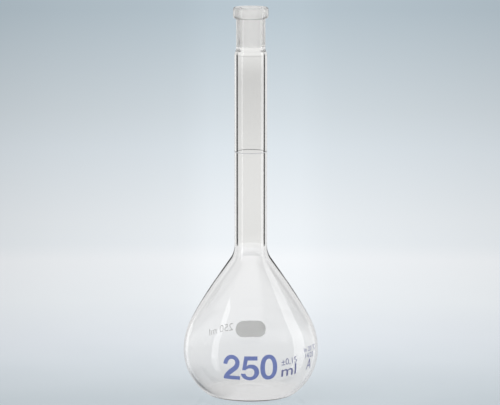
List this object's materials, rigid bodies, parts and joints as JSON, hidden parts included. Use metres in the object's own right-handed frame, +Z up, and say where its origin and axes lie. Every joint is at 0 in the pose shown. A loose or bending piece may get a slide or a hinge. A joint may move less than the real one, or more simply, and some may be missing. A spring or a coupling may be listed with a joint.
{
  "type": "volumetric flask",
  "caption": "Clear glass volumetric flask with a pear-shaped bulb, long neck with ring mark, and an open ground-glass socket with a rim bead.",
  "frame": {"origin": "centre of the foot ring, on the plane the flask stands on", "axes": "+Z up along the axis of the glass, -Y towards the capacity print, +Y towards the writing panel"},
  "size_m": [0.08, 0.0801, 0.2309],
  "materials": {
    "clear_glass": "clear, fire-polished",
    "ground_glass": "clear outside, finely ground inside",
    "ring_enamel": "fired enamel, matt",
    "panel_enamel": "fired enamel, matt, takes pencil"
  },
  "bodies": {
    "root": {"bulb": "clear_glass", "neck_tube": "clear_glass", "ground_socket": "ground_glass", "ring_mark": "ring_enamel", "writing_panel": "panel_enamel"}
  },
  "joints": []
}
